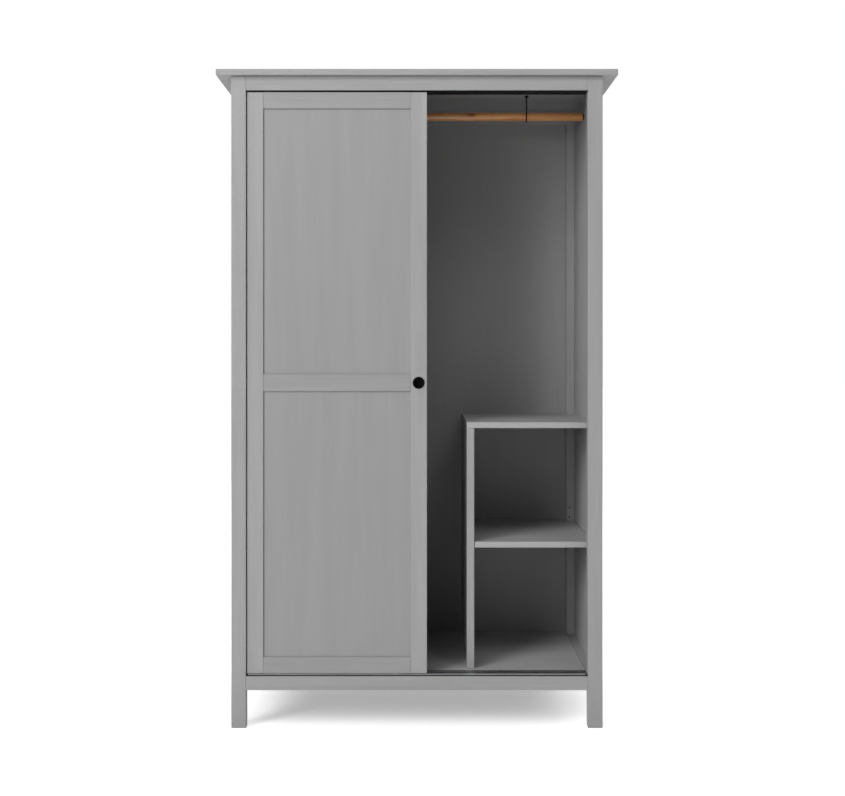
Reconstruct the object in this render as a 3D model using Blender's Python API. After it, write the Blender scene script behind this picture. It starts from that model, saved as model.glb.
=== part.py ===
"""A wardrobe with two sliding doors, in metres, +Z up.

The front faces -Y. The origin is on the floor under the middle of the wardrobe.
"""

import math

import bmesh
import bpy

# Overall size, over the top panel
OVERALL_WIDTH = 1.200
OVERALL_DEPTH = 0.590
OVERALL_HEIGHT = 1.970

# Gap between pieces that touch or are fitted together
FIT = 0.0003

# Top panel and how far it stands over the body
TOP_THICKNESS = 0.018
TOP_SIDE_OVERHANG = 0.044
TOP_FRONT_OVERHANG = 0.015
TOP_REAR_OVERHANG = 0.010

# Corner posts and the panels between them
POST_WIDTH = 0.044
POST_DEPTH = 0.033
SIDE_PANEL_THICKNESS = 0.012
SIDE_PANEL_RECESS = 0.004
SIDE_MID_RAIL_BOTTOM = 1.013
SIDE_MID_RAIL_HEIGHT = 0.0445
SIDE_MID_RAIL_PROUD = 0.002
PANEL_GROOVE_DEPTH = 0.008
PANEL_GROOVE_GAP = 0.0008
BACK_PANEL_THICKNESS = 0.003
BACK_PANEL_INSET = 0.006
FOLD_WIDTH = 0.004
FOLD_DEPTH = 0.0015

# Cross rails and floor
LEG_CLEAR_HEIGHT = 0.1135
BOTTOM_RAIL_HEIGHT = 0.0445
FRONT_RAIL_DEPTH = 0.062
FRONT_TOP_RAIL_HEIGHT = 0.0424
BACK_TOP_RAIL_HEIGHT = 0.047
FLOOR_THICKNESS = 0.018
FLOOR_SIDE_GAP = 0.0008

# Doors
DOOR_THICKNESS = 0.022
DOOR_FRONT_SETBACK = 0.006
DOOR_SPACING = 0.027
DOOR_OVERLAP = 0.060
DOOR_END_CLEARANCE = 0.002
DOOR_SILL_GAP = 0.004
DOOR_HEAD_GAP = 0.003
STILE_WIDTH = 0.049
DOOR_RAIL_WIDTH = 0.049
MID_RAIL_WIDTH = 0.050
DOOR_PANEL_THICKNESS = 0.008
DOOR_PANEL_RECESS = 0.005
DOOR_GROOVE_DEPTH = 0.008

# Finger pull in each door
PULL_RIM_RADIUS = 0.018
PULL_RIM_THICKNESS = 0.0015
PULL_CUP_RADIUS = 0.0135
PULL_CUP_DEPTH = 0.012
PULL_WALL = 0.0015
PULL_EDGE_DISTANCE = 0.025

# Top track and the guide fins that run in it
TRACK_PLATE_THICKNESS = 0.001
TRACK_PLATE_MARGIN = 0.003
TRACK_WALL = 0.002
CHANNEL_WIDTH = 0.009
CHANNEL_DEPTH = 0.013
GUIDE_BLOCK_LENGTH = 0.040
GUIDE_BLOCK_WIDTH = 0.012
GUIDE_BLOCK_HEIGHT = 0.014
GUIDE_FIN_LENGTH = 0.030
GUIDE_FIN_WIDTH = 0.007
GUIDE_FIN_CORNER = 0.003
GUIDE_FIN_HEIGHT = 0.011
GUIDE_END_DISTANCE = 0.050

# Bottom track bed, running rails and door wheels
BED_LIP = 0.004
BED_DEPTH = 0.011
BED_FLANGE = 0.0022
BED_FLANGE_SETBACK = 0.0008
RUNNING_RAIL_WIDTH = 0.020
RUNNING_RAIL_CORNER = 0.005
RUNNING_RAIL_RISE = 0.0015
RUNNING_RAIL_SEAT = 0.005
RUNNING_RAIL_END_GAP = 0.004
RUNNING_RIDGE_WIDTH = 0.006
RUNNING_GROOVE_WIDTH = 0.003
RUNNING_GROOVE_DEPTH = 0.003
WHEEL_TREAD_RADIUS = 0.010
WHEEL_FLANGE_HEIGHT = 0.002
WHEEL_FLANGE_WIDTH = 0.0018
WHEEL_TREAD_CLEARANCE = 0.0004
WHEEL_CLEARANCE = 0.0015
WHEEL_SIDE_CLEARANCE = 0.0004
AXLE_RADIUS = 0.0024
HOUSING_LENGTH = 0.044
HOUSING_WALL = 0.0016
HOUSING_HEIGHT = 0.024
HOUSING_END_DISTANCE = 0.045

# Half-height unit at the right
UNIT_INNER_WIDTH = 0.365
UNIT_HEIGHT = 0.753
UNIT_SETBACK = 0.013
DIVIDER_THICKNESS = 0.022
SHELF_THICKNESS = 0.018
SHELF_SIDE_GAP = 0.0015
ADJUSTABLE_SHELF_HEIGHT = 0.370
PIN_RADIUS = 0.0025
PIN_LENGTH = 0.016
PIN_HOLE_DEPTH = 0.008
PIN_HOLE_PITCH = 0.032
PIN_FRONT_DISTANCE = 0.050
PIN_REAR_DISTANCE = 0.060
PIN_POST_DISTANCE = 0.010

# Clothes rail, its end pins and its hangers
CLOTHES_RAIL_RADIUS = 0.0135
CLOTHES_RAIL_DROP = 0.065
CLOTHES_RAIL_SETBACK = 0.300
CLOTHES_RAIL_END_GAP = 0.0047
END_PIN_BOSS_RADIUS = 0.0085
END_PIN_RADIUS = 0.004
END_PIN_DEPTH = 0.012
END_PIN_CHAMFER = 0.0008
HANGER_DISTANCE = 0.353
HANGER_ROD_RADIUS = 0.002
HANGER_FLANGE_RADIUS = 0.0068
HANGER_FLANGE_HEIGHT = 0.003
HANGER_TAPER_HEIGHT = 0.0075
HANGER_TIP_RISE = 0.004

# Eased edges
BOARD_EASE = 0.0012
PANEL_EASE = 0.0006
STRIP_EASE = 0.0005

# Facets round each kind of turned or bent piece
PULL_STEPS = 40
DOWEL_STEPS = 32
WHEEL_STEPS = 28
PIN_STEPS = 16
HOLE_STEPS = 12
BEND_STEPS = 14
CORNER_STEPS = 4

# Rows of pin holes above and below the shelf's own pin, counted in pitches
PIN_HOLE_ROWS = (-1, 0, 1, 2)

# Places that follow from the sizes above
BODY_HALF_WIDTH = OVERALL_WIDTH / 2 - TOP_SIDE_OVERHANG
OPENING_HALF_WIDTH = BODY_HALF_WIDTH - POST_WIDTH
BODY_FRONT = -OVERALL_DEPTH / 2 + TOP_FRONT_OVERHANG
BODY_BACK = OVERALL_DEPTH / 2 - TOP_REAR_OVERHANG
BACK_PANEL_FRONT = BODY_BACK - BACK_PANEL_THICKNESS
REAR_POST_BACK = BACK_PANEL_FRONT - FIT
REAR_POST_FRONT = REAR_POST_BACK - POST_DEPTH
FRONT_POST_BACK = BODY_FRONT + POST_DEPTH
FRONT_RAIL_BACK = BODY_FRONT + FRONT_RAIL_DEPTH
CEILING = OVERALL_HEIGHT - TOP_THICKNESS
CARCASS_TOP = CEILING - FIT
SILL_TOP = LEG_CLEAR_HEIGHT + BOTTOM_RAIL_HEIGHT
FLOOR_TOP = SILL_TOP
HEAD_BOTTOM = CARCASS_TOP - FRONT_TOP_RAIL_HEIGHT
TRACK_BOTTOM = HEAD_BOTTOM - FIT - TRACK_PLATE_THICKNESS
SIDE_PANEL_OUTER = BODY_HALF_WIDTH - SIDE_PANEL_RECESS
SIDE_PANEL_INNER = SIDE_PANEL_OUTER - SIDE_PANEL_THICKNESS
FRONT_DOOR_Y = BODY_FRONT + DOOR_FRONT_SETBACK + DOOR_THICKNESS / 2
REAR_DOOR_Y = FRONT_DOOR_Y + DOOR_SPACING
DOOR_WIDTH = OPENING_HALF_WIDTH - DOOR_END_CLEARANCE + DOOR_OVERLAP / 2
DOOR_BOTTOM = SILL_TOP + DOOR_SILL_GAP
DOOR_HEIGHT = TRACK_BOTTOM - DOOR_HEAD_GAP - DOOR_BOTTOM
DOOR_REST_X = -OPENING_HALF_WIDTH + DOOR_END_CLEARANCE + DOOR_WIDTH / 2
RUNNING_RAIL_TOP = SILL_TOP + RUNNING_RAIL_RISE
WHEEL_CENTRE = RUNNING_RAIL_TOP + FIT + WHEEL_TREAD_RADIUS - DOOR_BOTTOM
WHEEL_RADIUS = WHEEL_TREAD_RADIUS + WHEEL_FLANGE_HEIGHT
WHEEL_TREAD_HALF = RUNNING_RIDGE_WIDTH / 2 + WHEEL_TREAD_CLEARANCE
WHEEL_HALF_WIDTH = WHEEL_TREAD_HALF + WHEEL_FLANGE_WIDTH
HOUSING_SLOT_HALF = WHEEL_HALF_WIDTH + WHEEL_SIDE_CLEARANCE
HOUSING_HALF_WIDTH = HOUSING_SLOT_HALF + HOUSING_WALL

# Colours as linear values
GREY_PAINT = ((0.36, 0.36, 0.36), 0.5, 0.0)
BLACK_PLASTIC = ((0.012, 0.012, 0.012), 0.45, 0.0)
WHITE_NYLON = ((0.62, 0.61, 0.58), 0.4, 0.0)
ALUMINIUM = ((0.60, 0.60, 0.61), 0.35, 1.0)
BLACK_ANODISED = ((0.015, 0.015, 0.016), 0.35, 1.0)
STEEL = ((0.48, 0.48, 0.50), 0.3, 1.0)
BLACK_METAL = ((0.010, 0.010, 0.010), 0.4, 0.0)
PINE = ((0.42, 0.22, 0.10), 0.5, 0.0)
HARDBOARD = ((0.33, 0.33, 0.33), 0.6, 0.0)

SHARP_ANGLE = math.radians(35)
PAST = 0.002


def clear_scene():
    for item in list(bpy.data.objects):
        bpy.data.objects.remove(item, do_unlink=True)


def group(name, location):
    """An empty that carries the pieces of one moving or fixed group."""
    empty = bpy.data.objects.new(name, None)
    empty.location = location
    bpy.context.scene.collection.objects.link(empty)
    return empty


def add_piece(name, mesh, parent, location, finish):
    """An object in its own paint or plastic, or a hidden cutter where finish is None."""
    piece = bpy.data.objects.new(name, mesh)
    piece.parent = parent
    piece.location = location
    bpy.context.scene.collection.objects.link(piece)
    if finish is None:
        piece.hide_render = True
        piece.display_type = "WIRE"
        return piece
    colour, roughness, metallic = finish
    material = bpy.data.materials.new(name + "_finish")
    material.use_nodes = True
    shader = material.node_tree.nodes["Principled BSDF"]
    shader.inputs["Base Color"].default_value = (*colour, 1.0)
    shader.inputs["Roughness"].default_value = roughness
    shader.inputs["Metallic"].default_value = metallic
    piece.data.materials.append(material)
    return piece


def mesh_of(name, shape):
    """A named mesh from a bmesh, with its faces pointing out."""
    bmesh.ops.recalc_face_normals(shape, faces=shape.faces)
    mesh = bpy.data.meshes.new(name)
    shape.to_mesh(mesh)
    shape.free()
    return mesh


def ease(piece, width, segments=2):
    """Rounds a piece's sharp edges."""
    bevel = piece.modifiers.new("eased edges", "BEVEL")
    bevel.limit_method = "ANGLE"
    bevel.angle_limit = SHARP_ANGLE
    bevel.width = width
    bevel.segments = segments


def board(name, low, high, parent, finish, eased=BOARD_EASE):
    """A rectangular board between two corners, given in its parent's frame."""
    centre = [(a + b) / 2 for a, b in zip(low, high)]
    size = [b - a for a, b in zip(low, high)]
    shape = bmesh.new()
    bmesh.ops.create_cube(shape, size=1.0)
    bmesh.ops.scale(shape, vec=size, verts=shape.verts)
    piece = add_piece(name, mesh_of(name, shape), parent, centre, finish)
    if finish is not None and eased:
        ease(piece, eased)
    return piece


def extrusion(name, outline, axis, start, end, parent, finish, eased=0.0):
    """A prism: an outline in the two other axes, in their XYZ order, drawn out along one axis."""
    along = "XYZ".index(axis)

    def corner(first, second, place):
        point = [first, second]
        point.insert(along, place)
        return point

    shape = bmesh.new()
    points = [shape.verts.new(corner(a, b, start)) for a, b in outline]
    cap = shape.faces.new(points)
    drawn = bmesh.ops.extrude_face_region(shape, geom=[cap])
    ends = [item for item in drawn["geom"] if isinstance(item, bmesh.types.BMVert)]
    bmesh.ops.translate(shape, verts=ends, vec=corner(0.0, 0.0, end - start))
    piece = add_piece(name, mesh_of(name, shape), parent, (0.0, 0.0, 0.0), finish)
    if eased:
        ease(piece, eased)
    return piece


def turned(name, profile, parent, location, finish, steps):
    """A piece turned about the Y direction, from points of (radius, place along Y), ends on the axis."""
    shape = bmesh.new()
    points = [shape.verts.new((radius, along, 0.0)) for radius, along in profile]
    edges = [shape.edges.new(pair) for pair in zip(points, points[1:])]
    bmesh.ops.spin(
        shape,
        geom=points + edges,
        cent=(0.0, 0.0, 0.0),
        axis=(0.0, 1.0, 0.0),
        angle=2 * math.pi,
        steps=steps,
        use_merge=True,
    )
    bmesh.ops.remove_doubles(shape, verts=shape.verts, dist=1e-6)
    piece = add_piece(name, mesh_of(name, shape), parent, location, finish)
    if finish is not None:
        piece.data.shade_smooth()
        piece.data.set_sharp_from_angle(angle=SHARP_ANGLE)
    return piece


def rod_profile(radius, start, end, chamfer=0.0):
    return [
        (0.0, start),
        (radius - chamfer, start),
        (radius, start + chamfer),
        (radius, end - chamfer),
        (radius - chamfer, end),
        (0.0, end),
    ]


def drill(piece, centre, axis, radius, depth, steps):
    """Cuts a round hole that runs from a centre along an axis."""
    profile = [(0.0, -PAST), (radius, -PAST), (radius, depth), (0.0, depth)]
    cutter = turned(piece.name + "_drill", profile, piece.parent, centre, None, steps)
    turns = {"+Y": (0, 0, 0), "-Y": (0, 0, 180), "+X": (0, 0, -90), "-X": (0, 0, 90)}
    cutter.rotation_euler = [math.radians(turn) for turn in turns[axis]]
    combine(piece, cutter, "DIFFERENCE")


def mill(piece, low, high):
    """Cuts a rectangular groove, rebate or pocket."""
    cutter = board(piece.name + "_mill", low, high, piece.parent, None)
    combine(piece, cutter, "DIFFERENCE")


def combine(piece, other, operation):
    change = piece.modifiers.new(other.name, "BOOLEAN")
    change.operation = operation
    change.object = other


def rounded_strip(length, width, corner):
    """The outline of a strip along X with rounded corners, about its centre."""
    outline = []
    for quarter, (end, side) in enumerate(((1, 1), (-1, 1), (-1, -1), (1, -1))):
        x = end * (length / 2 - corner)
        y = side * (width / 2 - corner)
        for step in range(CORNER_STEPS + 1):
            angle = math.pi / 2 * (quarter + step / CORNER_STEPS)
            outline.append((x + corner * math.cos(angle), y + corner * math.sin(angle)))
    return outline


def build_posts(carcass):
    """Corner posts that run down as legs, grooved for the side panels."""
    groove_inner = SIDE_PANEL_INNER - PANEL_GROOVE_GAP
    groove_outer = SIDE_PANEL_OUTER + FIT
    groove_bottom = SILL_TOP - PANEL_GROOVE_DEPTH
    front_groove = (FRONT_POST_BACK - PANEL_GROOVE_DEPTH, FRONT_POST_BACK + PAST)
    rear_groove = (REAR_POST_FRONT - PAST, REAR_POST_FRONT + PANEL_GROOVE_DEPTH)
    posts = {}
    for side, hand in ((-1, "left"), (1, "right")):
        edges = sorted((side * OPENING_HALF_WIDTH, side * BODY_HALF_WIDTH))
        groove = sorted((side * groove_inner, side * groove_outer))
        for end, front, back, cut in (
            ("front", BODY_FRONT, FRONT_POST_BACK, front_groove),
            ("rear", REAR_POST_FRONT, REAR_POST_BACK, rear_groove),
        ):
            name = f"{end}_post_{hand}"
            post = board(name, (edges[0], front, 0.0), (edges[1], back, CARCASS_TOP), carcass, GREY_PAINT)
            mill(post, (groove[0], cut[0], groove_bottom), (groove[1], cut[1], CARCASS_TOP + PAST))
            posts[name] = post
    return posts


def build_sides(carcass):
    """Side panels in their grooves, each glued up with a mid rail, on rails beside the floor's ends."""
    rail_front = FRONT_POST_BACK + FIT
    rail_back = REAR_POST_FRONT - FIT
    panel_front = FRONT_POST_BACK - PANEL_GROOVE_DEPTH + FIT
    panel_back = REAR_POST_FRONT + PANEL_GROOVE_DEPTH - FIT
    groove_bottom = SILL_TOP - PANEL_GROOVE_DEPTH
    panels = {}
    for side, hand in ((-1, "left"), (1, "right")):
        edges = sorted((side * OPENING_HALF_WIDTH, side * BODY_HALF_WIDTH))
        faces = sorted((side * SIDE_PANEL_INNER, side * SIDE_PANEL_OUTER))
        rail = board(
            f"side_bottom_rail_{hand}",
            (edges[0], rail_front, LEG_CLEAR_HEIGHT),
            (edges[1], rail_back, SILL_TOP),
            carcass,
            GREY_PAINT,
        )
        mill(
            rail,
            (faces[0] - FIT, rail_front - PAST, groove_bottom),
            (faces[1] + FIT, rail_back + PAST, SILL_TOP + PAST),
        )
        panel = board(
            f"side_panel_{hand}",
            (faces[0], panel_front, groove_bottom + FIT),
            (faces[1], panel_back, CARCASS_TOP),
            carcass,
            GREY_PAINT,
            PANEL_EASE,
        )
        rail_faces = sorted((side * (SIDE_PANEL_INNER - SIDE_MID_RAIL_PROUD), side * BODY_HALF_WIDTH))
        mid_rail = board(
            panel.name + "_mid_rail",
            (rail_faces[0], rail_front, SIDE_MID_RAIL_BOTTOM),
            (rail_faces[1], rail_back, SIDE_MID_RAIL_BOTTOM + SIDE_MID_RAIL_HEIGHT),
            carcass,
            None,
        )
        ease(mid_rail, PANEL_EASE)
        combine(panel, mid_rail, "UNION")
        panels[hand] = panel
    return panels


def build_front_rails(carcass):
    """The cross rails over and under the doors, and the tracks let into them."""
    half = OPENING_HALF_WIDTH - FIT
    lines = (FRONT_DOOR_Y, REAR_DOOR_Y)
    channel_half = CHANNEL_WIDTH / 2
    wall_half = channel_half + TRACK_WALL
    channel_top = TRACK_BOTTOM + CHANNEL_DEPTH
    wall_top = channel_top + TRACK_WALL

    head = [(BODY_FRONT, CARCASS_TOP), (BODY_FRONT, HEAD_BOTTOM)]
    for line in lines:
        head.append((line - wall_half - FIT, HEAD_BOTTOM))
        head.append((line - wall_half - FIT, wall_top + FIT))
        head.append((line + wall_half + FIT, wall_top + FIT))
        head.append((line + wall_half + FIT, HEAD_BOTTOM))
    head += [(FRONT_RAIL_BACK, HEAD_BOTTOM), (FRONT_RAIL_BACK, CARCASS_TOP)]
    extrusion("front_top_rail", head, "X", -half, half, carcass, GREY_PAINT, PANEL_EASE)

    plate_front = BODY_FRONT + TRACK_PLATE_MARGIN
    plate_back = FRONT_RAIL_BACK - TRACK_PLATE_MARGIN
    plate_top = TRACK_BOTTOM + TRACK_PLATE_THICKNESS
    track = [(plate_front, TRACK_BOTTOM)]
    for line in lines:
        track.append((line - channel_half, TRACK_BOTTOM))
        track.append((line - channel_half, channel_top))
        track.append((line + channel_half, channel_top))
        track.append((line + channel_half, TRACK_BOTTOM))
    track += [(plate_back, TRACK_BOTTOM), (plate_back, plate_top)]
    for line in reversed(lines):
        track.append((line + wall_half, plate_top))
        track.append((line + wall_half, wall_top))
        track.append((line - wall_half, wall_top))
        track.append((line - wall_half, plate_top))
    track.append((plate_front, plate_top))
    extrusion("top_track", track, "X", -half, half, carcass, BLACK_PLASTIC)

    bed_front = BODY_FRONT + BED_LIP
    bed_back = FRONT_RAIL_BACK - BED_LIP
    bed_bottom = SILL_TOP - BED_DEPTH
    flange_bottom = SILL_TOP - BED_FLANGE
    sill = [
        (BODY_FRONT, LEG_CLEAR_HEIGHT),
        (FRONT_RAIL_BACK, LEG_CLEAR_HEIGHT),
        (FRONT_RAIL_BACK, SILL_TOP),
        (bed_back, SILL_TOP),
        (bed_back, bed_bottom),
        (bed_front, bed_bottom),
        (bed_front, flange_bottom - FIT),
        (BODY_FRONT, flange_bottom - FIT),
    ]
    extrusion("front_bottom_rail", sill, "X", -half, half, carcass, GREY_PAINT, PANEL_EASE)

    seat_half = RUNNING_RAIL_WIDTH / 2 + FIT
    seat_bottom = SILL_TOP - RUNNING_RAIL_SEAT
    bed = [(bed_back - FIT, SILL_TOP), (bed_back - FIT, bed_bottom + FIT)]
    bed += [(bed_front + FIT, bed_bottom + FIT), (bed_front + FIT, flange_bottom)]
    bed += [(BODY_FRONT + BED_FLANGE_SETBACK, z) for z in (flange_bottom, SILL_TOP)]
    for line in lines:
        bed.append((line - seat_half, SILL_TOP))
        bed.append((line - seat_half, seat_bottom))
        bed.append((line + seat_half, seat_bottom))
        bed.append((line + seat_half, SILL_TOP))
    extrusion("bottom_track", bed, "X", -half, half, carcass, BLACK_PLASTIC)

    length = 2 * (OPENING_HALF_WIDTH - RUNNING_RAIL_END_GAP)
    groove_inner = RUNNING_RIDGE_WIDTH / 2
    groove_outer = groove_inner + RUNNING_GROOVE_WIDTH
    groove_bottom = RUNNING_RAIL_TOP - RUNNING_GROOVE_DEPTH
    strip = rounded_strip(length, RUNNING_RAIL_WIDTH, RUNNING_RAIL_CORNER)
    for name, line, finish in (
        ("front_running_rail", FRONT_DOOR_Y, ALUMINIUM),
        ("rear_running_rail", REAR_DOOR_Y, BLACK_ANODISED),
    ):
        outline = [(x, y + line) for x, y in strip]
        rail = extrusion(
            name, outline, "Z", seat_bottom + FIT, RUNNING_RAIL_TOP, carcass, finish, STRIP_EASE
        )
        for side in (-1, 1):
            groove = sorted((line + side * groove_inner, line + side * groove_outer))
            mill(rail, (-length, groove[0], groove_bottom), (length, groove[1], RUNNING_RAIL_TOP + PAST))


def build_floor_back_and_top(carcass):
    """The top, the floor, the rear cross rails and the folded sheet behind them."""
    board(
        "top_panel",
        (-OVERALL_WIDTH / 2, -OVERALL_DEPTH / 2, CEILING),
        (OVERALL_WIDTH / 2, OVERALL_DEPTH / 2, OVERALL_HEIGHT),
        carcass,
        GREY_PAINT,
    )
    floor_half = OPENING_HALF_WIDTH - FLOOR_SIDE_GAP
    floor_bottom = FLOOR_TOP - FLOOR_THICKNESS
    board(
        "bottom_panel",
        (-floor_half, FRONT_RAIL_BACK + FIT, floor_bottom),
        (floor_half, REAR_POST_BACK, FLOOR_TOP),
        carcass,
        GREY_PAINT,
        PANEL_EASE,
    )
    half = OPENING_HALF_WIDTH - FIT
    for name, low, high in (
        ("back_top_rail", CARCASS_TOP - BACK_TOP_RAIL_HEIGHT, CARCASS_TOP),
        ("back_bottom_rail", LEG_CLEAR_HEIGHT, floor_bottom - FIT),
    ):
        board(name, (-half, REAR_POST_FRONT, low), (half, REAR_POST_BACK, high), carcass, GREY_PAINT)

    sheet_half = BODY_HALF_WIDTH - BACK_PANEL_INSET
    fold_half = FOLD_WIDTH / 2
    sheet = [
        (-sheet_half, BACK_PANEL_FRONT),
        (sheet_half, BACK_PANEL_FRONT),
        (sheet_half, BODY_BACK),
        (fold_half, BODY_BACK),
        (0.0, BODY_BACK - FOLD_DEPTH),
        (-fold_half, BODY_BACK),
        (-sheet_half, BODY_BACK),
    ]
    extrusion("back_panel", sheet, "Z", LEG_CLEAR_HEIGHT, CARCASS_TOP, carcass, HARDBOARD)


def build_unit(carcass, posts, panels):
    """The half-height unit: divider, top shelf, and one shelf on pins."""
    front = FRONT_RAIL_BACK + UNIT_SETBACK
    back = REAR_POST_BACK
    divider_right = SIDE_PANEL_INNER - UNIT_INNER_WIDTH
    divider_left = divider_right - DIVIDER_THICKNESS
    unit_top = FLOOR_TOP + UNIT_HEIGHT
    top_shelf_bottom = unit_top - SHELF_THICKNESS
    divider = board(
        "divider_panel",
        (divider_left, front, FLOOR_TOP + FIT),
        (divider_right, back, top_shelf_bottom - FIT),
        carcass,
        GREY_PAINT,
    )

    notch_side = OPENING_HALF_WIDTH - SHELF_SIDE_GAP
    notch_front = REAR_POST_FRONT - SHELF_SIDE_GAP

    def shelf(name, left, right, bottom):
        """A shelf with a notch round the rear post."""
        outline = [
            (left, front),
            (right, front),
            (right, notch_front),
            (notch_side, notch_front),
            (notch_side, back),
            (left, back),
        ]
        extrusion(name, outline, "Z", bottom, bottom + SHELF_THICKNESS, carcass, GREY_PAINT, BOARD_EASE)

    shelf_right = SIDE_PANEL_INNER - SHELF_SIDE_GAP
    shelf_bottom = FLOOR_TOP + ADJUSTABLE_SHELF_HEIGHT
    shelf("unit_top_shelf", divider_left, shelf_right, top_shelf_bottom)
    shelf("adjustable_shelf", divider_right + SHELF_SIDE_GAP, shelf_right, shelf_bottom)

    pin_height = shelf_bottom - FIT - PIN_RADIUS
    pin_front = front + PIN_FRONT_DISTANCE
    pin_rear = back - PIN_REAR_DISTANCE
    pin_post = OPENING_HALF_WIDTH + PIN_POST_DISTANCE
    seats = (
        ("shelf_pin_divider_front", divider, (divider_right, pin_front), "-X"),
        ("shelf_pin_divider_rear", divider, (divider_right, pin_rear), "-X"),
        ("shelf_pin_side_front", panels["right"], (SIDE_PANEL_INNER, pin_front), "+X"),
        ("shelf_pin_post_rear", posts["rear_post_right"], (pin_post, REAR_POST_FRONT), "+Y"),
    )
    chamfer = PIN_RADIUS / 4
    profile = rod_profile(PIN_RADIUS, -(PIN_LENGTH - PIN_HOLE_DEPTH), PIN_HOLE_DEPTH - FIT, chamfer)
    turns = {"-X": 90, "+X": -90, "+Y": 0}
    for name, carrier, (x, y), axis in seats:
        pin = turned(name, profile, carcass, (x, y, pin_height), STEEL, PIN_STEPS)
        pin.rotation_euler[2] = math.radians(turns[axis])
        for row in PIN_HOLE_ROWS:
            hole = (x, y, pin_height + row * PIN_HOLE_PITCH)
            drill(carrier, hole, axis, PIN_RADIUS + FIT, PIN_HOLE_DEPTH, HOLE_STEPS)


def build_clothes_rail(carcass):
    """A pine dowel on a pin at each end, carried along its length by hooks from the ceiling."""
    y = BODY_FRONT + CLOTHES_RAIL_SETBACK
    z = CEILING - CLOTHES_RAIL_DROP
    rail_half = SIDE_PANEL_INNER - CLOTHES_RAIL_END_GAP
    rail = turned(
        "clothes_rail",
        rod_profile(CLOTHES_RAIL_RADIUS, -rail_half, rail_half, BOARD_EASE),
        carcass,
        (0.0, y, z),
        PINE,
        DOWEL_STEPS,
    )
    rail.rotation_euler[2] = math.radians(90)

    boss_end = CLOTHES_RAIL_END_GAP - FIT
    tip = CLOTHES_RAIL_END_GAP + END_PIN_DEPTH - FIT
    end_pin = [
        (0.0, FIT),
        (END_PIN_BOSS_RADIUS - END_PIN_CHAMFER, FIT),
        (END_PIN_BOSS_RADIUS, FIT + END_PIN_CHAMFER),
        (END_PIN_BOSS_RADIUS, boss_end),
        (END_PIN_RADIUS, boss_end),
        (END_PIN_RADIUS, tip - END_PIN_CHAMFER),
        (END_PIN_RADIUS - END_PIN_CHAMFER, tip),
        (0.0, tip),
    ]
    for side, hand, inward in ((-1, "left", "+X"), (1, "right", "-X")):
        drill(rail, (side * rail_half, y, z), inward, END_PIN_RADIUS + FIT, END_PIN_DEPTH, PIN_STEPS)
        wall = (side * SIDE_PANEL_INNER, y, z)
        pin = turned(f"rail_end_pin_{hand}", end_pin, carcass, wall, BLACK_PLASTIC, PIN_STEPS)
        pin.rotation_euler[2] = side * math.radians(90)

    reach = CLOTHES_RAIL_RADIUS + FIT + HANGER_ROD_RADIUS
    half_turn = [math.pi + math.pi * step / BEND_STEPS for step in range(BEND_STEPS + 1)]
    path = [
        (-reach, CEILING - FIT, HANGER_FLANGE_RADIUS),
        (-reach, CEILING - FIT - HANGER_FLANGE_HEIGHT, HANGER_FLANGE_RADIUS),
        (-reach, CEILING - FIT - HANGER_FLANGE_HEIGHT - HANGER_TAPER_HEIGHT, HANGER_ROD_RADIUS),
    ]
    path += [(reach * math.cos(a), z + reach * math.sin(a), HANGER_ROD_RADIUS) for a in half_turn]
    path.append((reach, z + HANGER_TIP_RISE, HANGER_ROD_RADIUS))
    for side, hand in ((-1, "left"), (1, "right")):
        curve = bpy.data.curves.new(f"rail_hanger_{hand}", "CURVE")
        curve.dimensions = "3D"
        curve.bevel_depth = 1.0
        curve.bevel_resolution = 3
        curve.use_fill_caps = True
        spline = curve.splines.new("POLY")
        spline.points.add(len(path) - 1)
        for point, (across, height, radius) in zip(spline.points, path):
            point.co = (0.0, across, height, 1.0)
            point.radius = radius
        add_piece(curve.name, curve, carcass, (side * HANGER_DISTANCE, y, 0.0), BLACK_METAL)


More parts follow.
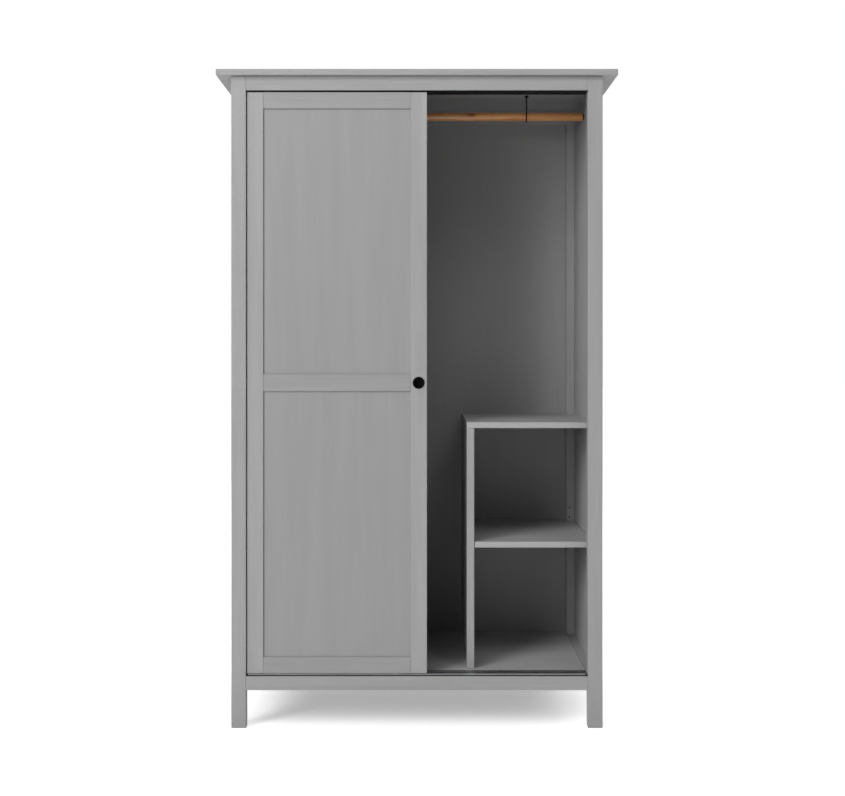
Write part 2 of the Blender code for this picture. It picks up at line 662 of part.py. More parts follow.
def build_door(name, y, pull_side):
    """A framed two-panel door on two wheels, in a frame at the middle of its lower edge."""
    door = group(name, (DOOR_REST_X, y, DOOR_BOTTOM))
    half = DOOR_WIDTH / 2
    face = DOOR_THICKNESS / 2
    inner = half - STILE_WIDTH
    panel_front = -face + DOOR_PANEL_RECESS
    panel_back = panel_front + DOOR_PANEL_THICKNESS
    groove_front = panel_front - FIT
    groove_back = panel_back + FIT

    stiles = {}
    for side, hand in ((-1, "left"), (1, "right")):
        edges = sorted((side * inner, side * half))
        groove = sorted((side * (inner - PAST), side * (inner + DOOR_GROOVE_DEPTH)))
        stile = board(
            f"{name}_stile_{hand}",
            (edges[0], -face, 0.0),
            (edges[1], face, DOOR_HEIGHT),
            door,
            GREY_PAINT,
        )
        mill(stile, (groove[0], groove_front, -PAST), (groove[1], groove_back, DOOR_HEIGHT + PAST))
        stiles[side] = stile

    mid_low = (DOOR_HEIGHT - MID_RAIL_WIDTH) / 2
    mid_high = mid_low + MID_RAIL_WIDTH
    top_low = DOOR_HEIGHT - DOOR_RAIL_WIDTH
    shoulder = inner - FIT
    tenon = inner + DOOR_GROOVE_DEPTH - FIT
    plan = [
        (-shoulder, -face),
        (shoulder, -face),
        (shoulder, panel_front),
        (tenon, panel_front),
        (tenon, panel_back),
        (shoulder, panel_back),
        (shoulder, face),
        (-shoulder, face),
        (-shoulder, panel_back),
        (-tenon, panel_back),
        (-tenon, panel_front),
        (-shoulder, panel_front),
    ]
    rails = {}
    for label, low, high in (
        ("bottom_rail", 0.0, DOOR_RAIL_WIDTH),
        ("mid_rail", mid_low, mid_high),
        ("top_rail", top_low, DOOR_HEIGHT),
    ):
        rail = extrusion(f"{name}_{label}", plan, "Z", low, high, door, GREY_PAINT, PANEL_EASE)
        if label != "top_rail":
            mill(
                rail,
                (-half, groove_front, high - DOOR_GROOVE_DEPTH),
                (half, groove_back, high + PAST),
            )
        if label != "bottom_rail":
            mill(rail, (-half, groove_front, low - PAST), (half, groove_back, low + DOOR_GROOVE_DEPTH))
        rails[label] = rail

    reach = DOOR_GROOVE_DEPTH - FIT
    for label, low, high in (
        ("lower_panel", DOOR_RAIL_WIDTH, mid_low),
        ("upper_panel", mid_high, top_low),
    ):
        board(
            f"{name}_{label}",
            (-tenon, panel_front, low - reach),
            (tenon, panel_back, high + reach),
            door,
            GREY_PAINT,
            0.0,
        )

    build_pull(name, door, stiles[pull_side], pull_side * (half - PULL_EDGE_DISTANCE), -face)
    guide_x = inner - GUIDE_END_DISTANCE
    roller_x = inner - HOUSING_END_DISTANCE
    for side, hand in ((-1, "left"), (1, "right")):
        build_guide(f"{name}_top_guide_{hand}", door, rails["top_rail"], side * guide_x)
        build_roller(name, hand, door, rails["bottom_rail"], side * roller_x)


def build_pull(name, door, stile, x, face):
    """A round black cup whose rim lies on the stile."""
    z = DOOR_HEIGHT / 2
    rim_back = -FIT
    rim_front = rim_back - PULL_RIM_THICKNESS
    soft = PULL_RIM_THICKNESS / 3
    bowl = PULL_CUP_RADIUS - PULL_WALL
    floor = PULL_CUP_DEPTH - PULL_WALL
    profile = [
        (0.0, PULL_CUP_DEPTH),
        (PULL_CUP_RADIUS - soft, PULL_CUP_DEPTH),
        (PULL_CUP_RADIUS, PULL_CUP_DEPTH - soft),
        (PULL_CUP_RADIUS, rim_back),
        (PULL_RIM_RADIUS, rim_back),
        (PULL_RIM_RADIUS, rim_front + soft),
        (PULL_RIM_RADIUS - soft, rim_front),
        (bowl + soft, rim_front),
        (bowl, rim_front + soft),
        (bowl, floor - PULL_WALL),
        (bowl - PULL_WALL, floor),
        (0.0, floor),
    ]
    turned(f"{name}_finger_pull", profile, door, (x, face, z), BLACK_PLASTIC, PULL_STEPS)
    drill(stile, (x, face, z), "+Y", PULL_CUP_RADIUS + FIT, PULL_CUP_DEPTH + FIT, PULL_STEPS)


def build_guide(name, door, rail, x):
    """A plastic block let into the door's upper edge, with a fin that runs in the top track."""
    half_length = GUIDE_BLOCK_LENGTH / 2
    half_width = GUIDE_BLOCK_WIDTH / 2
    bottom = DOOR_HEIGHT - GUIDE_BLOCK_HEIGHT
    block = board(
        name,
        (x - half_length, -half_width, bottom),
        (x + half_length, half_width, DOOR_HEIGHT),
        door,
        BLACK_PLASTIC,
        0.0,
    )
    strip = rounded_strip(GUIDE_FIN_LENGTH, GUIDE_FIN_WIDTH, GUIDE_FIN_CORNER)
    outline = [(x + a, b) for a, b in strip]
    middle = DOOR_HEIGHT - GUIDE_BLOCK_HEIGHT / 2
    fin = extrusion(name + "_fin", outline, "Z", middle, DOOR_HEIGHT + GUIDE_FIN_HEIGHT, door, None)
    combine(block, fin, "UNION")
    mill(
        rail,
        (x - half_length - FIT, -half_width - FIT, bottom - FIT),
        (x + half_length + FIT, half_width + FIT, DOOR_HEIGHT + PAST),
    )


def build_roller(name, hand, door, rail, x):
    """A carriage let into the door's lower edge, and the flanged wheel that turns in it."""
    half_length = HOUSING_LENGTH / 2
    slot_half = WHEEL_RADIUS + WHEEL_CLEARANCE
    housing = board(
        f"{name}_roller_housing_{hand}",
        (x - half_length, -HOUSING_HALF_WIDTH, 0.0),
        (x + half_length, HOUSING_HALF_WIDTH, HOUSING_HEIGHT),
        door,
        BLACK_PLASTIC,
        0.0,
    )
    mill(
        housing,
        (x - slot_half, -HOUSING_SLOT_HALF, -PAST),
        (x + slot_half, HOUSING_SLOT_HALF, WHEEL_CENTRE + slot_half),
    )
    drill(
        housing,
        (x, -HOUSING_HALF_WIDTH, WHEEL_CENTRE),
        "+Y",
        AXLE_RADIUS + FIT,
        2 * HOUSING_HALF_WIDTH + PAST,
        PIN_STEPS,
    )
    mill(
        rail,
        (x - half_length - FIT, -HOUSING_HALF_WIDTH - FIT, -PAST),
        (x + half_length + FIT, HOUSING_HALF_WIDTH + FIT, HOUSING_HEIGHT + FIT),
    )
    taper = WHEEL_FLANGE_WIDTH / 3
    near_side = [
        (0.0, HOUSING_HALF_WIDTH),
        (AXLE_RADIUS, HOUSING_HALF_WIDTH),
        (AXLE_RADIUS, WHEEL_HALF_WIDTH),
        (WHEEL_RADIUS - taper, WHEEL_HALF_WIDTH),
        (WHEEL_RADIUS, WHEEL_HALF_WIDTH - taper),
        (WHEEL_RADIUS, WHEEL_TREAD_HALF + taper),
        (WHEEL_TREAD_RADIUS, WHEEL_TREAD_HALF),
    ]
    far_side = [(radius, -along) for radius, along in reversed(near_side)]
    place = (x, 0.0, WHEEL_CENTRE)
    turned(f"{name}_roller_wheel_{hand}", near_side + far_side, door, place, WHITE_NYLON, WHEEL_STEPS)


def main():
    clear_scene()
    carcass = group("carcass", (0.0, 0.0, 0.0))
    posts = build_posts(carcass)
    panels = build_sides(carcass)
    build_front_rails(carcass)
    build_floor_back_and_top(carcass)
    build_unit(carcass, posts, panels)
    build_clothes_rail(carcass)
    build_door("front_door", FRONT_DOOR_Y, 1)
    build_door("rear_door", REAR_DOOR_Y, -1)


main()
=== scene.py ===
"""Looks of a grey painted wardrobe with two sliding doors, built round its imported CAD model, in metres.

The front faces -Y. The sections follow the wardrobe as it is put together, and the studio comes last.
"""

import math

import bmesh
import bpy
from mathutils import Matrix, Vector


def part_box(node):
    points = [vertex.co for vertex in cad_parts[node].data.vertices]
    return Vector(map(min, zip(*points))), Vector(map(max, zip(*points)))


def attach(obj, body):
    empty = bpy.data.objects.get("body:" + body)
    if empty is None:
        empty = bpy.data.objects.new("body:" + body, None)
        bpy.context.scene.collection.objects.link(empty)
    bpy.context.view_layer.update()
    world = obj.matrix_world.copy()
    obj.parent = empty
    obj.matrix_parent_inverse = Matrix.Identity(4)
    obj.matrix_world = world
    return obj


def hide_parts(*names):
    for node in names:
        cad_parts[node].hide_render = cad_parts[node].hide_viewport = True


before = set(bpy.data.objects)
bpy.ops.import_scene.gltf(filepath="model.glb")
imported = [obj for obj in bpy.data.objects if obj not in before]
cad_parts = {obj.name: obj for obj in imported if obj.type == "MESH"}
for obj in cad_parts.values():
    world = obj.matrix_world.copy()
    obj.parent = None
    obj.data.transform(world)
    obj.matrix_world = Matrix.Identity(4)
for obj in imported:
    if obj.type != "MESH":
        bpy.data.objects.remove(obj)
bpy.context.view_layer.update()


# Corner posts: four planed pine posts that run from the top down to the floor as legs, grooved for the
# side panels. They are sprayed with a thin satin grey that lets a little of the grain show through.
PAINT_DARK = "#989898"
PAINT_LIGHT = "#A3A3A3"
PORE_GREY = "#939393"
# Near-black painted shade for the dark inside of each shelf pin hole
HOLE_PAINTED_SHADE = "#1E140C"
PAINT_SPECULAR = 0.2
PAINT_ROUGHNESS = (0.44, 0.56)
# Width, length and noise detail of one mark of each grain pattern. Real pores are finer, and are drawn to
# just show.
STREAK = (0.005, 0.130, 3.0)
BAND = (0.040, 0.600, 2.0)
PORE = (0.0014, 0.022, 1.0)
BAND_SHARE = 0.65
# Noise levels at which a pore begins to show and shows in full, and how strong it then is
PORE_BEGIN = 0.66
PORE_FULL = 0.76
PORE_STRENGTH = 0.5
GRAIN_DEPTH = 0.0001
GRAIN_STRENGTH = 0.15
# Moves each board's pattern by its own share of this, so that no two boards are cut from one place
BOARD_SHIFT = (7.3, 5.1, 3.7)
# Noise seldom leaves this part of its range from 0 to 1
NOISE_LOW = 0.3
NOISE_HIGH = 0.7
# Shelf pin holes, drilled through the paint 5 mm wide and 8 mm deep: the heights of every row, and the box
# that holds the row in the post
HOLE_HEIGHTS = (0.480, 0.610)
POST_HOLES_X = (0.518, 0.526)
POST_HOLES_Y = (0.2499, 0.2580)


def linear(colour):
    """An sRGB hex colour as the linear values that a shader takes."""
    levels = [int(colour[start : start + 2], 16) / 255 for start in (1, 3, 5)]
    values = [v / 12.92 if v <= 0.04045 else ((v + 0.055) / 1.055) ** 2.4 for v in levels]
    return (*values, 1.0)


def add_node(tree, kind, inputs=None, **settings):
    """Adds a node, gives it its settings, and links or sets its inputs, by name or by place."""
    node = tree.nodes.new(kind)
    for setting, value in settings.items():
        setattr(node, setting, value)
    for socket, source in (inputs or {}).items():
        if isinstance(source, bpy.types.NodeSocket):
            tree.links.new(source, node.inputs[socket])
        else:
            node.inputs[socket].default_value = source
    return node


def new_material(name):
    """A named material, its node tree and its shader."""
    material = bpy.data.materials.new(name)
    material.use_nodes = True
    return material, material.node_tree, material.node_tree.nodes["Principled BSDF"]


def painted_pine(name, grain, crossing=None, drilled=(), greys=(PAINT_DARK, PAINT_LIGHT)):
    """Satin paint on pine: an almost even grey with soft streaks, broad bands and rare pores along the
    grain, and a faint relief that breaks up the sheen. Between the two heights of crossing, a rail is
    glued across and its grain runs along Y. Inside the boxes of drilled, each given by its ranges along
    X, Y and Z, a near-black painted shade stands for the dark inside of the holes.
    """
    material, tree, shader = new_material(name)
    whole = add_node(tree, "ShaderNodeTexCoord").outputs["Object"]
    place = whole
    board = add_node(tree, "ShaderNodeObjectInfo").outputs["Random"]
    if crossing:
        axes = add_node(tree, "ShaderNodeSeparateXYZ", {0: place}).outputs
        swapped = add_node(tree, "ShaderNodeCombineXYZ", {0: axes[0], 1: axes[2], 2: axes[1]})
        middle = (crossing[0] + crossing[1]) / 2
        reach = (crossing[1] - crossing[0]) / 2
        in_rail = add_node(tree, "ShaderNodeMath", {0: axes[2], 1: middle, 2: reach}, operation="COMPARE")
        place = add_node(
            tree,
            "ShaderNodeMix",
            {0: in_rail.outputs[0], 4: place, 5: swapped.outputs[0]},
            data_type="VECTOR",
        ).outputs[1]
    moved = add_node(
        tree, "ShaderNodeVectorMath", {0: board, 1: BOARD_SHIFT, 2: place}, operation="MULTIPLY_ADD"
    ).outputs[0]
    patterns = []
    for width, length, detail in (STREAK, BAND, PORE):
        scale = [1 / width] * 3
        scale["XYZ".index(grain)] = 1 / length
        stretched = add_node(tree, "ShaderNodeMapping", {"Vector": moved, "Scale": scale})
        noise = add_node(
            tree, "ShaderNodeTexNoise", {"Vector": stretched.outputs[0], "Scale": 1.0, "Detail": detail}
        )
        patterns.append(noise.outputs[0])
    streak, band, pore = patterns
    grey_share = add_node(tree, "ShaderNodeMix", {0: BAND_SHARE, 2: streak, 3: band}).outputs[0]
    tone = add_node(
        tree,
        "ShaderNodeMapRange",
        {"Value": grey_share, "From Min": NOISE_LOW, "From Max": NOISE_HIGH},
    )
    grey = add_node(
        tree,
        "ShaderNodeMix",
        {0: tone.outputs[0], 6: linear(greys[0]), 7: linear(greys[1])},
        data_type="RGBA",
    )
    open_pore = add_node(
        tree,
        "ShaderNodeMapRange",
        {"Value": pore, "From Min": PORE_BEGIN, "From Max": PORE_FULL, "To Max": PORE_STRENGTH},
    )
    colour = add_node(
        tree,
        "ShaderNodeMix",
        {0: open_pore.outputs[0], 6: grey.outputs[2], 7: linear(PORE_GREY)},
        data_type="RGBA",
    ).outputs[2]
    # Painted shade: inside each hole's box the colour goes near black, for the dark inside of the hole
    for box in drilled:
        axes = add_node(tree, "ShaderNodeSeparateXYZ", {0: whole}).outputs
        inside = 1.0
        for axis, (low, high) in zip(axes, box):
            middle = (low + high) / 2
            reach = (high - low) / 2
            within = add_node(tree, "ShaderNodeMath", {0: axis, 1: middle, 2: reach}, operation="COMPARE")
            inside = add_node(
                tree, "ShaderNodeMath", {0: within.outputs[0], 1: inside}, operation="MULTIPLY"
            ).outputs[0]
        colour = add_node(
            tree, "ShaderNodeMix", {0: inside, 6: colour, 7: linear(HOLE_PAINTED_SHADE)}, data_type="RGBA"
        ).outputs[2]
    gloss = add_node(
        tree,
        "ShaderNodeMapRange",
        {
            "Value": streak,
            "From Min": NOISE_LOW,
            "From Max": NOISE_HIGH,
            "To Min": PAINT_ROUGHNESS[0],
            "To Max": PAINT_ROUGHNESS[1],
        },
    )
    relief = add_node(
        tree, "ShaderNodeBump", {"Strength": GRAIN_STRENGTH, "Distance": GRAIN_DEPTH, "Height": streak}
    )
    tree.links.new(colour, shader.inputs["Base Color"])
    tree.links.new(gloss.outputs[0], shader.inputs["Roughness"])
    tree.links.new(relief.outputs[0], shader.inputs["Normal"])
    shader.inputs["Specular IOR Level"].default_value = PAINT_SPECULAR
    return material


def coat(material, *nodes):
    """Puts a finish on CAD nodes."""
    for node in nodes:
        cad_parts[node].material_slots[0].material = material


upright_paint = painted_pine("satin grey paint on upright pine", "Z")
coat(upright_paint, "front_post_left", "front_post_right", "rear_post_left")
post_holes = (POST_HOLES_X, POST_HOLES_Y, HOLE_HEIGHTS)
drilled_post = painted_pine("satin grey paint on a drilled pine post", "Z", drilled=[post_holes])
coat(drilled_post, "rear_post_right")


# Sides: a thin pine panel stands in the grooves of two posts, on a bottom rail that also carries the
# floor. A rail is glued across the middle of each panel. The grain runs up the panels and along the rails.
SIDE_MID_RAIL = (1.013, 1.0575)
SIDE_HOLES_X = (0.5412, 0.5490)
SIDE_HOLES_Y = (-0.160, -0.150)

side_holes = (SIDE_HOLES_X, SIDE_HOLES_Y, HOLE_HEIGHTS)
side_paint = painted_pine("satin grey paint on a pine side panel", "Z", SIDE_MID_RAIL, [side_holes])
coat(side_paint, "side_panel_left", "side_panel_right")
depth_paint = painted_pine("satin grey paint on pine, grain front to back", "Y")
coat(depth_paint, "side_bottom_rail_left", "side_bottom_rail_right")


# Front cross rails: pine rails between the posts over and under the doors. The upper one holds a black
# moulded track with two channels, and the lower one a black bed with two metal strips for the wheels.
ALUMINIUM_DARK = "#BDBFC1"
ALUMINIUM_LIGHT = "#DDDFE1"
# Size of the grit as a share of the size of the clouds in its colour, and how much the clouds count
GRIT_TO_CLOUD = 0.04
CLOUD_SHARE = 0.6
GRIT_DETAIL = 2.0
GRIT_STRENGTH = 0.4
# Spacing of the marks that drawing leaves along a strip. Real ones are finer, and are drawn to just show.
DRAW_MARK_SIZE = (0.0006, 0.150)
DRAW_MARK_DETAIL = 3.0
DRAW_MARK_DEPTH = 0.0001
DRAW_MARK_STRENGTH = 0.2
RIDGE_HALF_WIDTH = 0.003
REAR_RUNNING_LINE = -0.236


def speckled(name, dark, light, grit, roughness, relief, metallic=0.0, specular=0.5):
    """A moulded, plated or powdered finish: close in colour all over, with a fine even grit that gives
    a soft broken highlight.
    """
    material, tree, shader = new_material(name)
    place = add_node(tree, "ShaderNodeTexCoord").outputs["Object"]
    fine = add_node(
        tree, "ShaderNodeTexNoise", {"Vector": place, "Scale": 1 / grit, "Detail": GRIT_DETAIL}
    ).outputs[0]
    cloud = add_node(
        tree,
        "ShaderNodeTexNoise",
        {"Vector": place, "Scale": GRIT_TO_CLOUD / grit, "Detail": GRIT_DETAIL},
    ).outputs[0]
    share = add_node(tree, "ShaderNodeMix", {0: CLOUD_SHARE, 2: fine, 3: cloud}).outputs[0]
    colour = add_node(
        tree, "ShaderNodeMix", {0: share, 6: linear(dark), 7: linear(light)}, data_type="RGBA"
    )
    gloss = add_node(
        tree,
        "ShaderNodeMapRange",
        {
            "Value": cloud,
            "From Min": NOISE_LOW,
            "From Max": NOISE_HIGH,
            "To Min": roughness[0],
            "To Max": roughness[1],
        },
    )
    bump = add_node(
        tree, "ShaderNodeBump", {"Strength": GRIT_STRENGTH, "Distance": relief, "Height": fine}
    )
    tree.links.new(colour.outputs[2], shader.inputs["Base Color"])
    tree.links.new(gloss.outputs[0], shader.inputs["Roughness"])
    tree.links.new(bump.outputs[0], shader.inputs["Normal"])
    shader.inputs["Metallic"].default_value = metallic
    shader.inputs["Specular IOR Level"].default_value = specular
    return material


def drawn_strip(name, dark, light, roughness, unshaded_line=None):
    """Metal drawn through a die: long fine lines along X that stretch the highlight. Where a place along Y
    is given, a strip there keeps the pale aluminium colour, and the near black given for the rest is painted
    shade.
    """
    material, tree, shader = new_material(name)
    place = add_node(tree, "ShaderNodeTexCoord").outputs["Object"]
    width, length = DRAW_MARK_SIZE
    stretched = add_node(
        tree, "ShaderNodeMapping", {"Vector": place, "Scale": (1 / length, 1 / width, 1 / width)}
    )
    lines = add_node(
        tree,
        "ShaderNodeTexNoise",
        {"Vector": stretched.outputs[0], "Scale": 1.0, "Detail": DRAW_MARK_DETAIL},
    ).outputs[0]
    colour = add_node(
        tree, "ShaderNodeMix", {0: lines, 6: linear(dark), 7: linear(light)}, data_type="RGBA"
    ).outputs[2]
    # Painted shade: outside this strip, the near black given for the rear rail stands in for its shade
    if unshaded_line is not None:
        across = add_node(tree, "ShaderNodeSeparateXYZ", {0: place}).outputs[1]
        unshaded_strip = add_node(
            tree,
            "ShaderNodeMath",
            {0: across, 1: unshaded_line, 2: RIDGE_HALF_WIDTH},
            operation="COMPARE",
        )
        colour = add_node(
            tree,
            "ShaderNodeMix",
            {0: unshaded_strip.outputs[0], 6: colour, 7: linear(ALUMINIUM_LIGHT)},
            data_type="RGBA",
        ).outputs[2]
    gloss = add_node(
        tree,
        "ShaderNodeMapRange",
        {
            "Value": lines,
            "From Min": NOISE_LOW,
            "From Max": NOISE_HIGH,
            "To Min": roughness[0],
            "To Max": roughness[1],
        },
    )
    bump = add_node(
        tree,
        "ShaderNodeBump",
        {"Strength": DRAW_MARK_STRENGTH, "Distance": DRAW_MARK_DEPTH, "Height": lines},
    )
    tree.links.new(colour, shader.inputs["Base Color"])
    tree.links.new(gloss.outputs[0], shader.inputs["Roughness"])
    tree.links.new(bump.outputs[0], shader.inputs["Normal"])
    shader.inputs["Metallic"].default_value = 1.0
    return material


lengthways_paint = painted_pine("satin grey paint on pine, grain from side to side", "X")
coat(lengthways_paint, "front_top_rail", "front_bottom_rail")
# Dull black with a fine moulded grit, which shows only as a soft sheen along edges
black_plastic = speckled(
    "moulded black polypropylene",
    dark="#060606",
    light="#101010",
    grit=0.0008,
    roughness=(0.42, 0.55),
    relief=0.0001,
    specular=0.15,
)
coat(black_plastic, "top_track", "bottom_track")
# Pale metal with long drawn lines, which gives the sill its thin bright line
aluminium = drawn_strip(
    "drawn aluminium", dark=ALUMINIUM_DARK, light=ALUMINIUM_LIGHT, roughness=(0.28, 0.42)
)
coat(aluminium, "front_running_rail")
# Painted shade: the rear strip is near black, as it lies in shade behind the front one, but for a pale
# aluminium line where the wheels run
rear_strip_shade = drawn_strip(
    "drawn aluminium darkened as painted shade",
    dark="#0B0B0C",
    light="#1A1A1C",
    roughness=(0.32, 0.46),
    unshaded_line=REAR_RUNNING_LINE,
)
coat(rear_strip_shade, "rear_running_rail")


# Track screws: countersunk cross-head screws that hold the upper track to its rail, in a row between the
# two channels. They are black oxide steel, set almost flush so that the doors pass under them.
TRACK_SCREW_PITCH = 0.225
TRACK_SCREW_RADIUS = 0.0034
TRACK_SCREW_RISE = 0.0005
TRACK_SCREW_END = 0.450
TRACK_SCREW_LINE = -0.2495
HEAD_STEPS = 24
HEAD_RINGS = 12
# Length and width of the two bars of the cross recess, as shares of the head's radius
RECESS_LENGTH = 1.1
RECESS_WIDTH = 0.24


def row_of_heads(name, turn, material, recess=False):
    """Geometry Nodes that set a round head, plain or with a cross recess, at an even pitch along every
    edge of a mesh.
    """
    tree = bpy.data.node_groups.new(name, "GeometryNodeTree")
    tree.interface.new_socket("Lines", in_out="INPUT", socket_type="NodeSocketGeometry")
    for size in ("Pitch", "Radius", "Rise"):
        tree.interface.new_socket(size, in_out="INPUT", socket_type="NodeSocketFloat")
    tree.interface.new_socket("Heads", in_out="OUTPUT", socket_type="NodeSocketGeometry")
    given = add_node(tree, "NodeGroupInput").outputs
    path = add_node(tree, "GeometryNodeMeshToCurve", {"Mesh": given["Lines"]})
    spaced = add_node(
        tree,
        "GeometryNodeResampleCurve",
        {"Curve": path.outputs[0], "Length": given["Pitch"]},
        mode="LENGTH",
    )
    ball = add_node(
        tree,
        "GeometryNodeMeshUVSphere",
        {"Segments": HEAD_STEPS, "Rings": HEAD_RINGS, "Radius": given["Radius"]},
    )
    flatness = add_node(tree, "ShaderNodeMath", {0: given["Rise"], 1: given["Radius"]}, operation="DIVIDE")
    squeeze = add_node(tree, "ShaderNodeCombineXYZ", {0: 1.0, 1: 1.0, 2: flatness.outputs[0]})
    head = add_node(
        tree, "GeometryNodeTransform", {"Geometry": ball.outputs[0], "Scale": squeeze.outputs[0]}
    ).outputs[0]
    if recess:
        length, width = [
            add_node(tree, "ShaderNodeMath", {0: given["Radius"], 1: share}, operation="MULTIPLY").outputs[0]
            for share in (RECESS_LENGTH, RECESS_WIDTH)
        ]
        for across, along in ((length, width), (width, length)):
            bar = add_node(tree, "ShaderNodeCombineXYZ", {0: across, 1: along, 2: given["Radius"]})
            cutter = add_node(tree, "GeometryNodeMeshCube", {"Size": bar.outputs[0]})
            cut = add_node(tree, "GeometryNodeMeshBoolean", operation="DIFFERENCE", solver="EXACT")
            tree.links.new(head, cut.inputs["Mesh 1"])
            tree.links.new(cutter.outputs[0], cut.inputs["Mesh 2"])
            head = cut.outputs[0]
    faced = add_node(tree, "GeometryNodeTransform", {"Geometry": head, "Rotation": turn})
    set_in = add_node(
        tree, "GeometryNodeInstanceOnPoints", {"Points": spaced.outputs[0], "Instance": faced.outputs[0]}
    )
    real = add_node(tree, "GeometryNodeRealizeInstances", {0: set_in.outputs[0]})
    finished = add_node(
        tree, "GeometryNodeSetMaterial", {"Geometry": real.outputs[0], "Material": material}
    )
    add_node(tree, "NodeGroupOutput", {"Heads": finished.outputs[0]})
    return tree


def heads_along(name, lines, tree, sizes):
    """A plain mesh of the heads that a tree sets along straight lines."""
    mesh = bpy.data.meshes.new(name + "_lines")
    points = [point for line in lines for point in line]
    mesh.from_pydata(points, [(place, place + 1) for place in range(0, len(points), 2)], [])
    carrier = bpy.data.objects.new(name + "_lines", mesh)
    bpy.context.scene.collection.objects.link(carrier)
    change = carrier.modifiers.new(tree.name, "NODES")
    change.node_group = tree
    for item in tree.interface.items_tree:
        if item.name in sizes:
            change[item.identifier] = sizes[item.name]
    made = bpy.data.meshes.new_from_object(
        carrier.evaluated_get(bpy.context.evaluated_depsgraph_get())
    )
    carrier.modifiers.remove(change)
    bpy.data.objects.remove(carrier)
    made.name = name
    return made


def add_piece(name, mesh, body, slot, *nodes):
    """A piece of the scene's own, which moves with a body and may stand for CAD nodes."""
    piece = bpy.data.objects.new(name, mesh)
    bpy.context.scene.collection.objects.link(piece)
    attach(piece, body)
    if nodes:
        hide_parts(*nodes)
    return piece


track_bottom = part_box("top_track")[0].z
# Dark steel with a low glint
screw_black = speckled(
    "black oxide steel",
    dark="#0C0C0C",
    light="#1B1B1B",
    grit=0.0010,
    roughness=(0.35, 0.50),
    relief=0.00005,
    metallic=1.0,
)
screw_tree = row_of_heads("track screws", (math.pi, 0.0, 0.0), screw_black, recess=True)
screw_ends = [(end * TRACK_SCREW_END, TRACK_SCREW_LINE, track_bottom) for end in (-1, 1)]
track_screws = heads_along(
    "track_screws",
    [screw_ends],
    screw_tree,
    {"Pitch": TRACK_SCREW_PITCH, "Radius": TRACK_SCREW_RADIUS, "Rise": TRACK_SCREW_RISE},
)
add_piece("track_screws", track_screws, "carcass", "black_metal")


# Floor, top and rear rails: glued pine boards. The top lies over the posts with its edges past them on
# all sides, and the floor lies between the side rails. The grain runs from side to side.
# The floor's grey is paler than the rest as painted light, for light from above that the lamps don't
# give, and it throws that back into the space above it.
FLOOR_PAINTED_LIGHT_GREYS = ("#A8A8A8", "#B4B4B4")

coat(lengthways_paint, "top_panel", "back_top_rail", "back_bottom_rail")
# Painted light: the floor takes paler greys than the same paint elsewhere
floor_painted_light_paint = painted_pine("grey paint on a pine floor, paler for painted light", "X", greys=FLOOR_PAINTED_LIGHT_GREYS)
coat(floor_painted_light_paint, "bottom_panel")


# Back: one sheet of hardboard with a fold line down its middle, so that it packs flat. Its face is
# lacquered grey, and its rear is the bare brown board with the print of the mesh it was pressed on.
SHEET_DARK = "#9C9C9C"
SHEET_LIGHT = "#A2A2A2"
BOARD_DARK = "#6A4B33"
BOARD_LIGHT = "#8A6647"
SHEET_GRAIN_SIZE = (0.009, 0.220)
SHEET_GRAIN_DETAIL = 3.0
FACE_ROUGHNESS = 0.52
REAR_ROUGHNESS = 0.82
FIBRE_CLUMP_SIZE = 0.012
FIBRE_CLUMP_DETAIL = 6.0
FIBRE_CLUMP_ROUGHNESS = 0.7
# The mesh print is really about 1.5 mm apart, and is drawn at twice that to show
MESH_PITCH = 0.003
SHEET_RELIEF_DEPTH = 0.0002
SHEET_RELIEF_STRENGTH = 0.3
SHEET_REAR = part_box("back_panel")[1].y
SHEET_SKIN = 0.0005

# An even grey with a faint upright grain in front, and a rough flecked brown behind
sheet_finish, tree, shader = new_material("hardboard with a grey lacquered face")
place = add_node(tree, "ShaderNodeTexCoord").outputs["Object"]
axes = add_node(tree, "ShaderNodeSeparateXYZ", {0: place}).outputs
is_rear = add_node(
    tree, "ShaderNodeMath", {0: axes[1], 1: SHEET_REAR - SHEET_SKIN}, operation="GREATER_THAN"
).outputs[0]
sheet_scale = (1 / SHEET_GRAIN_SIZE[0], 1 / SHEET_GRAIN_SIZE[0], 1 / SHEET_GRAIN_SIZE[1])
stretched = add_node(tree, "ShaderNodeMapping", {"Vector": place, "Scale": sheet_scale})
print_grain = add_node(
    tree,
    "ShaderNodeTexNoise",
    {"Vector": stretched.outputs[0], "Scale": 1.0, "Detail": SHEET_GRAIN_DETAIL},
).outputs[0]
face_grey = add_node(
    tree,
    "ShaderNodeMix",
    {0: print_grain, 6: linear(SHEET_DARK), 7: linear(SHEET_LIGHT)},
    data_type="RGBA",
)
fibres = add_node(
    tree,
    "ShaderNodeTexNoise",
    {
        "Vector": place,
        "Scale": 1 / FIBRE_CLUMP_SIZE,
        "Detail": FIBRE_CLUMP_DETAIL,
        "Roughness": FIBRE_CLUMP_ROUGHNESS,
    },
).outputs[0]
fibre_share = add_node(
    tree, "ShaderNodeMapRange", {"Value": fibres, "From Min": NOISE_LOW, "From Max": NOISE_HIGH}
)
rear_brown = add_node(
    tree,
    "ShaderNodeMix",
    {0: fibre_share.outputs[0], 6: linear(BOARD_DARK), 7: linear(BOARD_LIGHT)},
    data_type="RGBA",
)
colour = add_node(
    tree,
    "ShaderNodeMix",
    {0: is_rear, 6: face_grey.outputs[2], 7: rear_brown.outputs[2]},
    data_type="RGBA",
)
mesh_waves = []
for axis in (0, 2):
    turn = add_node(
        tree, "ShaderNodeMath", {0: axes[axis], 1: 2 * math.pi / MESH_PITCH}, operation="MULTIPLY"
    )
    mesh_waves.append(add_node(tree, "ShaderNodeMath", {0: turn.outputs[0]}, operation="SINE").outputs[0])
